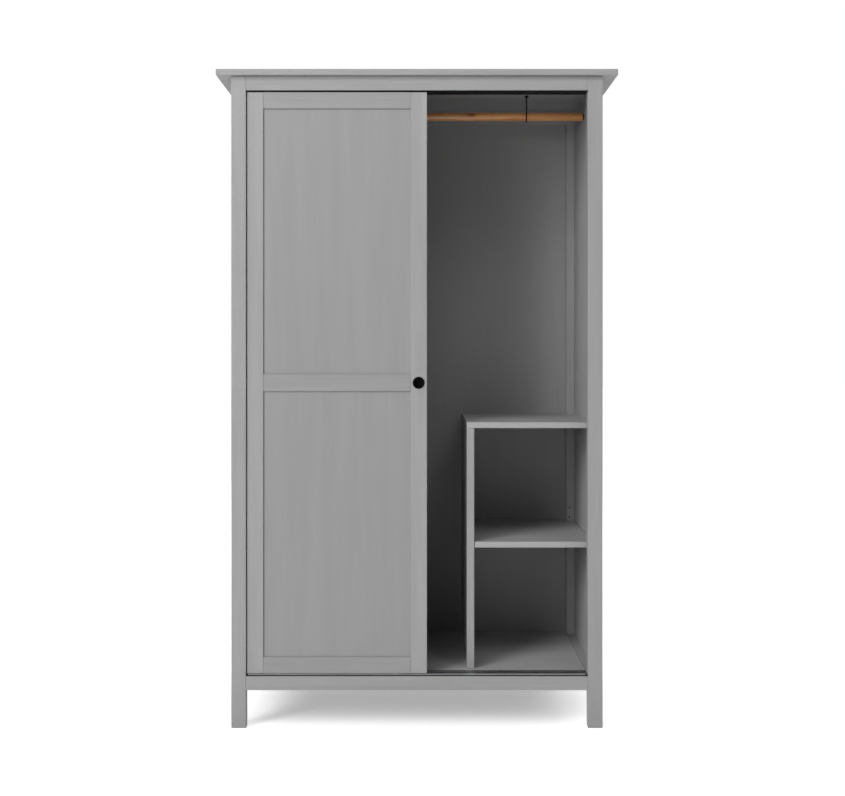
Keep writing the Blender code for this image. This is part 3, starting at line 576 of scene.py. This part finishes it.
mesh_print = add_node(tree, "ShaderNodeMath", {0: mesh_waves[0], 1: mesh_waves[1]}, operation="MULTIPLY")
height = add_node(tree, "ShaderNodeMix", {0: is_rear, 2: print_grain, 3: mesh_print.outputs[0]})
relief = add_node(
    tree,
    "ShaderNodeBump",
    {"Strength": SHEET_RELIEF_STRENGTH, "Distance": SHEET_RELIEF_DEPTH, "Height": height.outputs[0]},
)
gloss = add_node(
    tree, "ShaderNodeMapRange", {"Value": is_rear, "To Min": FACE_ROUGHNESS, "To Max": REAR_ROUGHNESS}
)
tree.links.new(colour.outputs[2], shader.inputs["Base Color"])
tree.links.new(gloss.outputs[0], shader.inputs["Roughness"])
tree.links.new(relief.outputs[0], shader.inputs["Normal"])
shader.inputs["Specular IOR Level"].default_value = PAINT_SPECULAR
coat(sheet_finish, "back_panel")


# Panel pins: small plated steel pins with domed heads, hammered through the back sheet into the middle
# of the rear posts and rails at an even spacing.
PANEL_PIN_PITCH = 0.110
PANEL_PIN_RADIUS = 0.0022
PANEL_PIN_RISE = 0.0008
POST_MIDDLE = 0.534
RAIL_PIN_REACH = 0.480
TOP_PIN_HEIGHT = 1.928
BOTTOM_PIN_HEIGHT = 0.127
POST_PIN_LOW = 0.180
POST_PIN_HIGH = 1.880

# Bright grey metal, which gives each small head a glint
zinc = speckled(
    "zinc plated steel",
    dark="#8F9294",
    light="#B9BCBE",
    grit=0.0012,
    roughness=(0.28, 0.42),
    relief=0.00004,
    metallic=1.0,
)
pin_lines = [
    [(end * RAIL_PIN_REACH, SHEET_REAR, z) for end in (-1, 1)] for z in (BOTTOM_PIN_HEIGHT, TOP_PIN_HEIGHT)
]
pin_lines += [
    [(side * POST_MIDDLE, SHEET_REAR, z) for z in (POST_PIN_LOW, POST_PIN_HIGH)] for side in (-1, 1)
]
pin_tree = row_of_heads("panel pins", (-math.pi / 2, 0.0, 0.0), zinc)
panel_pins = heads_along(
    "panel_pins",
    pin_lines,
    pin_tree,
    {"Pitch": PANEL_PIN_PITCH, "Radius": PANEL_PIN_RADIUS, "Rise": PANEL_PIN_RISE},
)
add_piece("panel_pins", panel_pins, "carcass", "steel")


# Half-height unit: an upright divider and two shelves of glued pine. The upper shelf is fixed on the
# divider, and the lower one lies on four steel pins pushed into drilled holes. All are painted grey, and
# the shelves' grey is a little paler as painted light for light from above, as the floor's is.
SHELF_PAINTED_LIGHT_GREYS = ("#A0A0A0", "#ABABAB")
DIVIDER_HOLES_X = (0.166, 0.1738)
DIVIDER_HOLE_LINES = (-0.155, 0.2217)
HOLE_BOX_HALF = 0.005
SHELF_PIN_RADIUS = 0.0025
SHELF_PIN_HALF = 0.00785
SHELF_PIN_SOFT = 0.0007
TURNED_STEPS = 64
TURNED_SHARP_ANGLE = math.radians(50)
# An edge is at least this many times as long as the rounding at its end
EDGE_TO_ROUNDING = 2.5
# Points nearer than this are one
SAME_POINT = 1e-7


def smooth_mesh(name, shape, sharp_angle, material):
    """A smooth mesh from a shape, with its double points merged and its faces turned outwards."""
    bmesh.ops.remove_doubles(shape, verts=shape.verts, dist=SAME_POINT)
    bmesh.ops.recalc_face_normals(shape, faces=shape.faces)
    mesh = bpy.data.meshes.new(name)
    shape.to_mesh(mesh)
    shape.free()
    mesh.shade_smooth()
    mesh.set_sharp_from_angle(angle=sharp_angle)
    mesh.materials.append(material)
    return mesh


def rod_profile(radius, half):
    """The points of a plain rod, to be turned."""
    return [(0.0, -half), (radius, -half), (radius, half), (0.0, half)]


def turned(name, profile, soften, material, place, turn=0.0):
    """A mesh turned about the Y direction from points of (radius, place along Y), ends on the axis, with
    its corners rounded. It is then turned about Z and put in its place.
    """
    rounded = []
    for before, corner, after in zip(profile, profile[1:], profile[2:]):
        corner = Vector(corner)
        for other in (before, after):
            step = Vector(other) - corner
            rounded.append(corner + step.normalized() * min(soften, step.length / EDGE_TO_ROUNDING))
    path = [Vector(profile[0]), *rounded, Vector(profile[-1])]
    shape = bmesh.new()
    points = [shape.verts.new((radius, along, 0.0)) for radius, along in path]
    edges = [shape.edges.new(pair) for pair in zip(points, points[1:])]
    bmesh.ops.spin(
        shape,
        geom=points + edges,
        cent=(0.0, 0.0, 0.0),
        axis=(0.0, 1.0, 0.0),
        angle=2 * math.pi,
        steps=TURNED_STEPS,
        use_merge=True,
    )
    mesh = smooth_mesh(name, shape, TURNED_SHARP_ANGLE, material)
    mesh.transform(Matrix.Translation(place) @ Matrix.Rotation(turn, 4, "Z"))
    return mesh


def middle_of(node):
    """The middle of a CAD node's box."""
    low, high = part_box(node)
    return (low + high) / 2


divider_holes = [
    (DIVIDER_HOLES_X, (y - HOLE_BOX_HALF, y + HOLE_BOX_HALF), HOLE_HEIGHTS) for y in DIVIDER_HOLE_LINES
]
divider_paint = painted_pine("satin grey paint on a drilled pine divider", "Z", drilled=divider_holes)
coat(divider_paint, "divider_panel")
# Painted light: the shelves take paler greys than the same paint elsewhere
shelf_painted_light_paint = painted_pine("grey paint on pine shelves, paler for painted light", "X", greys=SHELF_PAINTED_LIGHT_GREYS)
coat(shelf_painted_light_paint, "unit_top_shelf", "adjustable_shelf")
pin_profile = rod_profile(SHELF_PIN_RADIUS, SHELF_PIN_HALF)
for seat, turn in (
    ("divider_front", math.pi / 2),
    ("divider_rear", math.pi / 2),
    ("side_front", math.pi / 2),
    ("post_rear", 0.0),
):
    node = f"shelf_pin_{seat}"
    pin = turned(node + "_turned", pin_profile, SHELF_PIN_SOFT, zinc, middle_of(node), turn)
    add_piece(node + "_turned", pin, "carcass", "steel", node)


# Clothes rail: a turned pine dowel under clear lacquer. A black moulded boss with a pin holds it off the
# side panel at each end.
DOWEL_RADIUS = 0.0135
DOWEL_SOFT = 0.0012
PINE_PALE = "#F0B277"
PINE_RING = "#C67C46"
PINE_KNOT = "#A4673A"
LACQUER_WEIGHT = 0.4
LACQUER_ROUGHNESS = 0.22
PINE_SPECULAR = 0.3
PINE_ROUGHNESS = (0.26, 0.40)
RING_WIDTH = 0.0045
RING_SLANT = 0.6
# Shares of a ring's width at which its dark late wood begins and is full
LATE_WOOD_BEGIN = 0.35
LATE_WOOD_FULL = 0.95
# How many ring widths the rings wander along the dowel, and bend round a knot
RING_WANDER = 6.0
RING_BEND = 2.5
RING_WANDER_SIZE = (0.020, 0.240)
RING_WANDER_DETAIL = 3.0
FIBRE_SIZE = (0.0012, 0.035)
FIBRE_DETAIL = 2.0
FIBRE_SHARE = 0.35
FIBRE_DEPTH = 0.0001
FIBRE_STRENGTH = 0.3
KNOT_SIZE = (0.014, 0.005, 0.005)
# Distances from a knot's middle, in its sizes, to which it is dark and at which it has faded out
KNOT_DARK = 0.45
KNOT_END = 1.6
KNOT_PLACES = ((0.1745, 0.0066, 1.8905), (-0.243, 0.012, 1.878), (0.402, 0.030, 1.891))

# Warm orange wood with slanting darker rings and a few knots, and a soft shine along it from the lacquer
dowel_finish, tree, shader = new_material("lacquered pine")
place = add_node(tree, "ShaderNodeTexCoord").outputs["Object"]
wander_scale = (1 / RING_WANDER_SIZE[1], 1 / RING_WANDER_SIZE[0], 1 / RING_WANDER_SIZE[0])
stretched = add_node(tree, "ShaderNodeMapping", {"Vector": place, "Scale": wander_scale})
wander = add_node(
    tree,
    "ShaderNodeTexNoise",
    {"Vector": stretched.outputs[0], "Scale": 1.0, "Detail": RING_WANDER_DETAIL},
).outputs[0]
knot = 0.0
for spot in KNOT_PLACES:
    away = add_node(tree, "ShaderNodeVectorMath", {0: place, 1: spot}, operation="SUBTRACT").outputs[0]
    scaled = add_node(tree, "ShaderNodeVectorMath", {0: away, 1: KNOT_SIZE}, operation="DIVIDE").outputs[0]
    distance = add_node(tree, "ShaderNodeVectorMath", {0: scaled}, operation="LENGTH").outputs["Value"]
    near = add_node(
        tree,
        "ShaderNodeMapRange",
        {"Value": distance, "From Min": KNOT_DARK, "From Max": KNOT_END, "To Min": 1.0, "To Max": 0.0},
        interpolation_type="SMOOTHSTEP",
    ).outputs[0]
    knot = add_node(tree, "ShaderNodeMath", {0: knot, 1: near}, operation="MAXIMUM").outputs[0]
axes = add_node(tree, "ShaderNodeSeparateXYZ", {0: place}).outputs
slant = add_node(
    tree, "ShaderNodeMath", {0: axes[1], 1: RING_SLANT, 2: axes[2]}, operation="MULTIPLY_ADD"
).outputs[0]
ring_place = add_node(tree, "ShaderNodeMath", {0: slant, 1: RING_WIDTH}, operation="DIVIDE").outputs[0]
for pattern, push in ((wander, RING_WANDER), (knot, RING_BEND)):
    ring_place = add_node(
        tree, "ShaderNodeMath", {0: pattern, 1: push, 2: ring_place}, operation="MULTIPLY_ADD"
    ).outputs[0]
ring = add_node(tree, "ShaderNodeMath", {0: ring_place}, operation="FRACT").outputs[0]
late_wood = add_node(
    tree,
    "ShaderNodeMapRange",
    {"Value": ring, "From Min": LATE_WOOD_BEGIN, "From Max": LATE_WOOD_FULL},
    interpolation_type="SMOOTHSTEP",
).outputs[0]
fine_scale = (1 / FIBRE_SIZE[1], 1 / FIBRE_SIZE[0], 1 / FIBRE_SIZE[0])
fine_place = add_node(tree, "ShaderNodeMapping", {"Vector": place, "Scale": fine_scale})
fibre = add_node(
    tree, "ShaderNodeTexNoise", {"Vector": fine_place.outputs[0], "Scale": 1.0, "Detail": FIBRE_DETAIL}
).outputs[0]
shade = add_node(tree, "ShaderNodeMix", {0: FIBRE_SHARE, 2: late_wood, 3: fibre}).outputs[0]
wood = add_node(
    tree, "ShaderNodeMix", {0: shade, 6: linear(PINE_PALE), 7: linear(PINE_RING)}, data_type="RGBA"
)
colour = add_node(
    tree, "ShaderNodeMix", {0: knot, 6: wood.outputs[2], 7: linear(PINE_KNOT)}, data_type="RGBA"
)
gloss = add_node(
    tree,
    "ShaderNodeMapRange",
    {"Value": fibre, "To Min": PINE_ROUGHNESS[0], "To Max": PINE_ROUGHNESS[1]},
)
relief = add_node(
    tree, "ShaderNodeBump", {"Strength": FIBRE_STRENGTH, "Distance": FIBRE_DEPTH, "Height": fibre}
)
tree.links.new(colour.outputs[2], shader.inputs["Base Color"])
tree.links.new(gloss.outputs[0], shader.inputs["Roughness"])
tree.links.new(relief.outputs[0], shader.inputs["Normal"])
shader.inputs["Specular IOR Level"].default_value = PINE_SPECULAR
shader.inputs["Coat Weight"].default_value = LACQUER_WEIGHT
shader.inputs["Coat Roughness"].default_value = LACQUER_ROUGHNESS

dowel_centre = middle_of("clothes_rail")
dowel_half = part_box("clothes_rail")[1].x
dowel_profile = rod_profile(DOWEL_RADIUS, dowel_half)
dowel = turned("pine_dowel", dowel_profile, DOWEL_SOFT, dowel_finish, dowel_centre, math.pi / 2)
add_piece("pine_dowel", dowel, "carcass", "pine", "clothes_rail")
coat(black_plastic, "rail_end_pin_left", "rail_end_pin_right")


# Rail hooks: two round steel rods that carry the dowel along its length. Each flares out to a flange under
# the ceiling, and is bent round below the dowel. They are powder coated black.
HOOK_ROD_RADIUS = 0.002
HOOK_FLANGE_RADIUS = 0.0068
HOOK_FLANGE_HEIGHT = 0.003
HOOK_TAPER_HEIGHT = 0.0075
HOOK_REACH = 0.0158
HOOK_TIP_RISE = 0.004
HOOK_SOFT = 0.0004
HOOK_TAPER_STEPS = 8
HOOK_BEND_STEPS = 40
HOOK_TIP_STEPS = 5
HOOK_ROUND_STEPS = 32
HOOK_SHARP_ANGLE = math.radians(30)

# Deep flat black with hardly any sheen
powder_black = speckled(
    "black powder coated steel",
    dark="#020202",
    light="#080808",
    grit=0.0009,
    roughness=(0.45, 0.58),
    relief=0.00008,
    specular=0.06,
)


def hook_path():
    """Points of (place along Y, height, radius) from the ceiling flange round under the dowel."""
    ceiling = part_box("rail_hanger_left")[1].z
    back_of_flange = ceiling - HOOK_FLANGE_HEIGHT
    taper_end = back_of_flange - HOOK_TAPER_HEIGHT
    soft_radius = HOOK_FLANGE_RADIUS - HOOK_SOFT
    path = [
        (-HOOK_REACH, ceiling, 0.0),
        (-HOOK_REACH, ceiling, soft_radius),
        (-HOOK_REACH, ceiling - HOOK_SOFT, HOOK_FLANGE_RADIUS),
        (-HOOK_REACH, back_of_flange, soft_radius),
    ]
    for step in range(1, HOOK_TAPER_STEPS + 1):
        share = step / HOOK_TAPER_STEPS
        flare = (1 - share) ** 2
        radius = HOOK_ROD_RADIUS + (soft_radius - HOOK_ROD_RADIUS) * flare
        path.append((-HOOK_REACH, back_of_flange + (taper_end - back_of_flange) * share, radius))
    for step in range(HOOK_BEND_STEPS + 1):
        angle = math.pi * (1 + step / HOOK_BEND_STEPS)
        along = HOOK_REACH * math.cos(angle)
        height = dowel_centre.z + HOOK_REACH * math.sin(angle)
        path.append((along, height, HOOK_ROD_RADIUS))
    tip = dowel_centre.z + HOOK_TIP_RISE
    path.append((HOOK_REACH, tip - HOOK_ROD_RADIUS, HOOK_ROD_RADIUS))
    for step in range(1, HOOK_TIP_STEPS + 1):
        angle = math.pi / 2 * step / HOOK_TIP_STEPS
        height = tip - HOOK_ROD_RADIUS + HOOK_ROD_RADIUS * math.sin(angle)
        path.append((HOOK_REACH, height, HOOK_ROD_RADIUS * math.cos(angle)))
    return path


def bent_rod(name, x, y, path, material):
    """A mesh swept round a path that lies in the plane across the wardrobe at x."""
    shape = bmesh.new()
    rings = []
    across = Vector((1.0, 0.0, 0.0))
    for place, (along, height, radius) in enumerate(path):
        centre = Vector((x, y + along, height))
        before = path[max(place - 1, 0)]
        after = path[min(place + 1, len(path) - 1)]
        heading = Vector((0.0, after[0] - before[0], after[1] - before[1]))
        if heading.length < SAME_POINT:
            heading = Vector((0.0, 0.0, -1.0))
        aside = across.cross(heading.normalized())
        ring = []
        for step in range(HOOK_ROUND_STEPS):
            angle = 2 * math.pi * step / HOOK_ROUND_STEPS
            outward = across * math.cos(angle) + aside * math.sin(angle)
            ring.append(shape.verts.new(centre + radius * outward))
        rings.append(ring)
    for ring, following in zip(rings, rings[1:]):
        for step in range(HOOK_ROUND_STEPS):
            beside = (step + 1) % HOOK_ROUND_STEPS
            shape.faces.new((ring[step], ring[beside], following[beside], following[step]))
    return smooth_mesh(name, shape, HOOK_SHARP_ANGLE, material)


for hand in ("left", "right"):
    node = f"rail_hanger_{hand}"
    hook = bent_rod(node + "_bent", middle_of(node).x, dowel_centre.y, hook_path(), powder_black)
    add_piece(node + "_bent", hook, "carcass", "black_metal", node)


# Doors: two framed doors of pine, each with two thin panels held in grooves of its stiles and rails. The
# grain runs up the stiles and panels and along the rails. The stiles are painted as the carcass, and the
# rails and thin panels a shade darker.
RAIL_GREYS = ("#929292", "#9D9D9D")
PANEL_GREYS = ("#939393", "#9A9A9A")

door_upright = painted_pine("satin grey paint on a door's pine stiles", "Z")
door_lengthways = painted_pine("satin grey paint on a door's pine rails", "X", greys=RAIL_GREYS)
door_panel_paint = painted_pine("satin grey paint on a thin pine panel", "Z", greys=PANEL_GREYS)
for door in ("front_door", "rear_door"):
    coat(door_upright, f"{door}_stile_left", f"{door}_stile_right")
    coat(door_lengthways, f"{door}_top_rail", f"{door}_mid_rail", f"{door}_bottom_rail")
    coat(door_panel_paint, f"{door}_upper_panel", f"{door}_lower_panel")


# Finger pulls: a black moulded cup let into a bored hole in one stile of each door. Its thin rim lies on
# the paint, and its bowl has a rounded floor.
PULL_RIM_RADIUS = 0.018
PULL_RIM_THICKNESS = 0.0015
PULL_CUP_RADIUS = 0.0135
PULL_CUP_DEPTH = 0.012
PULL_WALL = 0.0015
PULL_SOFT = 0.0006
PULL_RIM_GAP = 0.0003

# The deepest black on the wardrobe, so that the cup reads as one dark disc
pull_black = speckled(
    "satin black moulded plastic",
    dark="#020202",
    light="#060606",
    grit=0.0007,
    roughness=(0.45, 0.58),
    relief=0.00005,
    specular=0.04,
)
rim_front = -PULL_RIM_GAP - PULL_RIM_THICKNESS
bowl_radius = PULL_CUP_RADIUS - PULL_WALL
bowl_floor = PULL_CUP_DEPTH - PULL_WALL
bowl_rounding = 3 * PULL_WALL
pull_profile = [
    (0.0, PULL_CUP_DEPTH),
    (PULL_CUP_RADIUS, PULL_CUP_DEPTH),
    (PULL_CUP_RADIUS, -PULL_RIM_GAP),
    (PULL_RIM_RADIUS, -PULL_RIM_GAP),
    (PULL_RIM_RADIUS, rim_front),
    (bowl_radius, rim_front),
    (bowl_radius, bowl_floor - bowl_rounding),
    (bowl_radius - PULL_WALL, bowl_floor - PULL_WALL),
    (bowl_radius - bowl_rounding, bowl_floor),
    (0.0, bowl_floor),
]
for door, stile in (("front_door", "stile_right"), ("rear_door", "stile_left")):
    node = f"{door}_finger_pull"
    place = middle_of(node)
    place.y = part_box(f"{door}_{stile}")[0].y
    pull = turned(node + "_moulded", pull_profile, PULL_SOFT, pull_black, place)
    add_piece(node + "_moulded", pull, door, "black_plastic", node)


# Guides and rollers: black moulded fins in the upper edge of each door run in the upper track. White
# nylon wheels with two flanges turn in carriages let into the lower edge, and roll on the metal strips.
WHEEL_TREAD_RADIUS = 0.010
WHEEL_RADIUS = 0.012
WHEEL_TREAD_HALF = 0.0034
WHEEL_HALF_WIDTH = 0.0052
AXLE_RADIUS = 0.0024
AXLE_HALF_LENGTH = 0.0072
WHEEL_TAPER = 0.0006
WHEEL_SOFT = 0.0003

# Milky white with a soft waxy sheen
nylon = speckled(
    "white nylon", dark="#CFCCC2", light="#E0DED6", grit=0.0010, roughness=(0.36, 0.48), relief=0.00004
)
near_side = [
    (0.0, AXLE_HALF_LENGTH),
    (AXLE_RADIUS, AXLE_HALF_LENGTH),
    (AXLE_RADIUS, WHEEL_HALF_WIDTH),
    (WHEEL_RADIUS - WHEEL_TAPER, WHEEL_HALF_WIDTH),
    (WHEEL_RADIUS, WHEEL_HALF_WIDTH - WHEEL_TAPER),
    (WHEEL_RADIUS, WHEEL_TREAD_HALF + WHEEL_TAPER),
    (WHEEL_TREAD_RADIUS, WHEEL_TREAD_HALF),
]
wheel_profile = near_side + [(radius, -along) for radius, along in reversed(near_side)]
for door in ("front_door", "rear_door"):
    for hand in ("left", "right"):
        coat(black_plastic, f"{door}_top_guide_{hand}", f"{door}_roller_housing_{hand}")
        node = f"{door}_roller_wheel_{hand}"
        wheel = turned(node + "_turned", wheel_profile, WHEEL_SOFT, nylon, middle_of(node))
        add_piece(node + "_turned", wheel, f"{door}_wheel_{hand}", "nylon", node)


# Studio: a plain white floor that keeps the wardrobe's shadow, white all round, large soft lamps mostly at
# the front left, and a level camera as far away as the photograph was taken from.
FLOOR_HALF = 30.0
FLOOR_WHITE = "#F6F6F6"
SURROUND_WHITE = "#FFFFFF"
# How bright the floor shows of itself under the wardrobe. Away from it, that rises to 1.
FLOOR_LIFT = 0.27
# Half sizes of the patch under the wardrobe that keeps its whole shadow, and of the one past which the
# floor is white. Height plays no part.
SHADOW_FULL = (0.33, 0.10, 1.0)
SHADOW_END = (0.84, 0.52, 2.0)
# How much the surround lights the wardrobe
SURROUND_STRENGTH = 0.02
MIDDLE = (0.1, 0.0, 0.9)
# Name, place, what it points at, width and power of each square lamp
LAMPS = (
    ("key_light", (-7.32, -7.95, 5.97), MIDDLE, 4.6, 600.0),
    ("low_light", (-5.90, -6.44, 2.77), MIDDLE, 2.5, 150.0),
    ("level_light", (-4.36, -7.72, 2.15), MIDDLE, 1.5, 40.0),
    ("near_light", (-1.10, -2.20, 2.05), MIDDLE, 0.6, 3.0),
    ("left_top_light", (-0.90, -2.60, 4.20), MIDDLE, 1.5, 22.0),
    ("right_top_light", (1.60, -2.40, 4.00), MIDDLE, 1.5, 22.0),
    ("bounce_light", (0.00, -1.60, 0.02), (0.0, -1.6, 2.0), 2.4, 4.0),
    ("rear_left_light", (-3.00, 4.00, 3.00), MIDDLE, 4.0, 120.0),
    ("rear_right_light", (4.20, 2.60, 3.00), MIDDLE, 4.0, 120.0),
)
CAMERA_PLACE = (0.0085, -3.880, 1.141)
CAMERA_LENS = 51.25
CAMERA_SENSOR = 36.0
CAMERA_SHIFT = (0.0032, -0.0604)


def seen_directly(tree):
    """1 for what the camera sees, also mirrored in gloss or through glass, and 0 for light on the object."""
    ray = add_node(tree, "ShaderNodeLightPath").outputs
    seen = 0.0
    for kind in ("Is Camera Ray", "Is Glossy Ray", "Is Transmission Ray"):
        seen = add_node(tree, "ShaderNodeMath", {0: seen, 1: ray[kind]}, operation="MAXIMUM").outputs[0]
    return seen


scene = bpy.context.scene
floor_mesh = bpy.data.meshes.new("studio_floor")
corners = [(x * FLOOR_HALF, y * FLOOR_HALF, 0.0) for x, y in ((-1, -1), (1, -1), (1, 1), (-1, 1))]
floor_mesh.from_pydata(corners, [], [(0, 1, 2, 3)])
floor = bpy.data.objects.new("studio_floor", floor_mesh)
scene.collection.objects.link(floor)
floor_finish, tree, shader = new_material("white studio floor")
shader.inputs["Base Color"].default_value = linear(FLOOR_WHITE)
shader.inputs["Roughness"].default_value = 1.0
shader.inputs["Specular IOR Level"].default_value = 0.0
shader.inputs["Emission Color"].default_value = linear(SURROUND_WHITE)
place = add_node(tree, "ShaderNodeTexCoord").outputs["Object"]
either_side = add_node(tree, "ShaderNodeVectorMath", {0: place}, operation="ABSOLUTE").outputs[0]
outwards = add_node(
    tree,
    "ShaderNodeMapRange",
    {6: either_side, 7: SHADOW_FULL, 8: SHADOW_END},
    data_type="FLOAT_VECTOR",
    interpolation_type="SMOOTHSTEP",
).outputs[1]
away = add_node(tree, "ShaderNodeVectorMath", {0: outwards}, operation="LENGTH").outputs["Value"]
fade = add_node(tree, "ShaderNodeMapRange", {"Value": away, "To Min": FLOOR_LIFT})
lift = add_node(
    tree, "ShaderNodeMath", {0: seen_directly(tree), 1: fade.outputs[0]}, operation="MULTIPLY"
)
tree.links.new(lift.outputs[0], shader.inputs["Emission Strength"])
floor.data.materials.append(floor_finish)

world = bpy.data.worlds.new("white surround")
world.use_nodes = True
scene.world = world
tree = world.node_tree
background = tree.nodes["Background"]
background.inputs["Color"].default_value = linear(SURROUND_WHITE)
strength = add_node(
    tree,
    "ShaderNodeMapRange",
    {"Value": seen_directly(tree), "To Min": SURROUND_STRENGTH, "To Max": 1.0},
)
tree.links.new(strength.outputs[0], background.inputs["Strength"])

for name, place, target, size, power in LAMPS:
    lamp_data = bpy.data.lights.new(name, "AREA")
    lamp_data.size = size
    lamp_data.energy = power
    lamp = bpy.data.objects.new(name, lamp_data)
    lamp.location = place
    lamp.rotation_euler = (Vector(target) - Vector(place)).to_track_quat("-Z", "Y").to_euler()
    lamp.visible_camera = False
    scene.collection.objects.link(lamp)

camera_data = bpy.data.cameras.new("camera")
camera_data.sensor_fit = "HORIZONTAL"
camera_data.sensor_width = CAMERA_SENSOR
camera_data.lens = CAMERA_LENS
camera_data.shift_x, camera_data.shift_y = CAMERA_SHIFT
camera = bpy.data.objects.new("camera", camera_data)
camera.location = CAMERA_PLACE
camera.rotation_euler = (math.pi / 2, 0.0, 0.0)
scene.collection.objects.link(camera)
scene.camera = camera
scene.view_settings.view_transform = "Standard"
